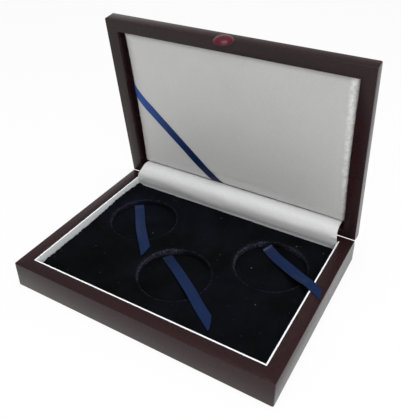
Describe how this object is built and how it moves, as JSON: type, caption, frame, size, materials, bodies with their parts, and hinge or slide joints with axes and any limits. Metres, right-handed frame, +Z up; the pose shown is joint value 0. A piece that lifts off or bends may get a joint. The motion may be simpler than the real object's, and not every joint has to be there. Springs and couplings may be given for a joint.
{
  "type": "badge display case",
  "caption": "Shallow hinged wooden case with a velvet insert for round badges, lift ribbons and a satin-padded lid.",
  "frame": {"origin": "centre of the base's flat underside", "axes": "+X to the right along the hinge line, +Y from the front to the hinged rear, +Z up"},
  "size_m": [0.18, 0.1369, 0.1479],
  "materials": {
    "lacquered_wood": "dark red-brown satin lacquer over wood",
    "fibreboard": "plain fibreboard",
    "card": "plain grey-brown card",
    "felt": "dark felt",
    "foam": "soft white foam",
    "velvet": "near-black navy velvet",
    "satin": "silvery white satin",
    "navy_ribbon": "dark blue satin ribbon",
    "red_lacquer": "glossy dark red lacquer",
    "brass": "plain rolled brass"
  },
  "bodies": {
    "case": {"base_front_rail": "lacquered_wood", "base_rear_rail": "lacquered_wood", "base_left_rail": "lacquered_wood", "base_right_rail": "lacquered_wood", "base_panel": "fibreboard", "base_felt": "felt", "liner_front": "satin", "liner_left": "satin", "liner_right": "satin", "insert_board": "card", "insert_foam": "foam", "velvet_cover": "velvet", "recess_floor_left": "velvet", "recess_floor_front": "velvet", "recess_floor_right": "velvet", "lift_ribbon_left": "navy_ribbon", "lift_ribbon_front": "navy_ribbon", "lift_ribbon_right": "navy_ribbon", "hinge_base_leaf_left": "brass", "hinge_base_leaf_right": "brass", "hinge_pin_left": "brass", "hinge_pin_right": "brass", "base_screws": "brass", "hinge_flap": "satin"},
    "lid": {"lid_front_rail": "lacquered_wood", "lid_rear_rail": "lacquered_wood", "lid_left_rail": "lacquered_wood", "lid_right_rail": "lacquered_wood", "lid_panel": "lacquered_wood", "lining_board": "card", "lining_foam": "foam", "lining_satin": "satin", "corner_ribbon": "navy_ribbon", "thumb_knob": "red_lacquer", "hinge_lid_leaf_left": "brass", "hinge_lid_leaf_right": "brass", "lid_screws": "brass"}
  },
  "joints": [
    {"name": "lid_hinge", "type": "hinge", "parent": "case", "child": "lid", "pos_m": [0, 0.0625, 0.01795], "axis": [1, 0, 0], "range_deg": [-12.6, 82.4], "deforming": ["hinge_flap"]}
  ]
}
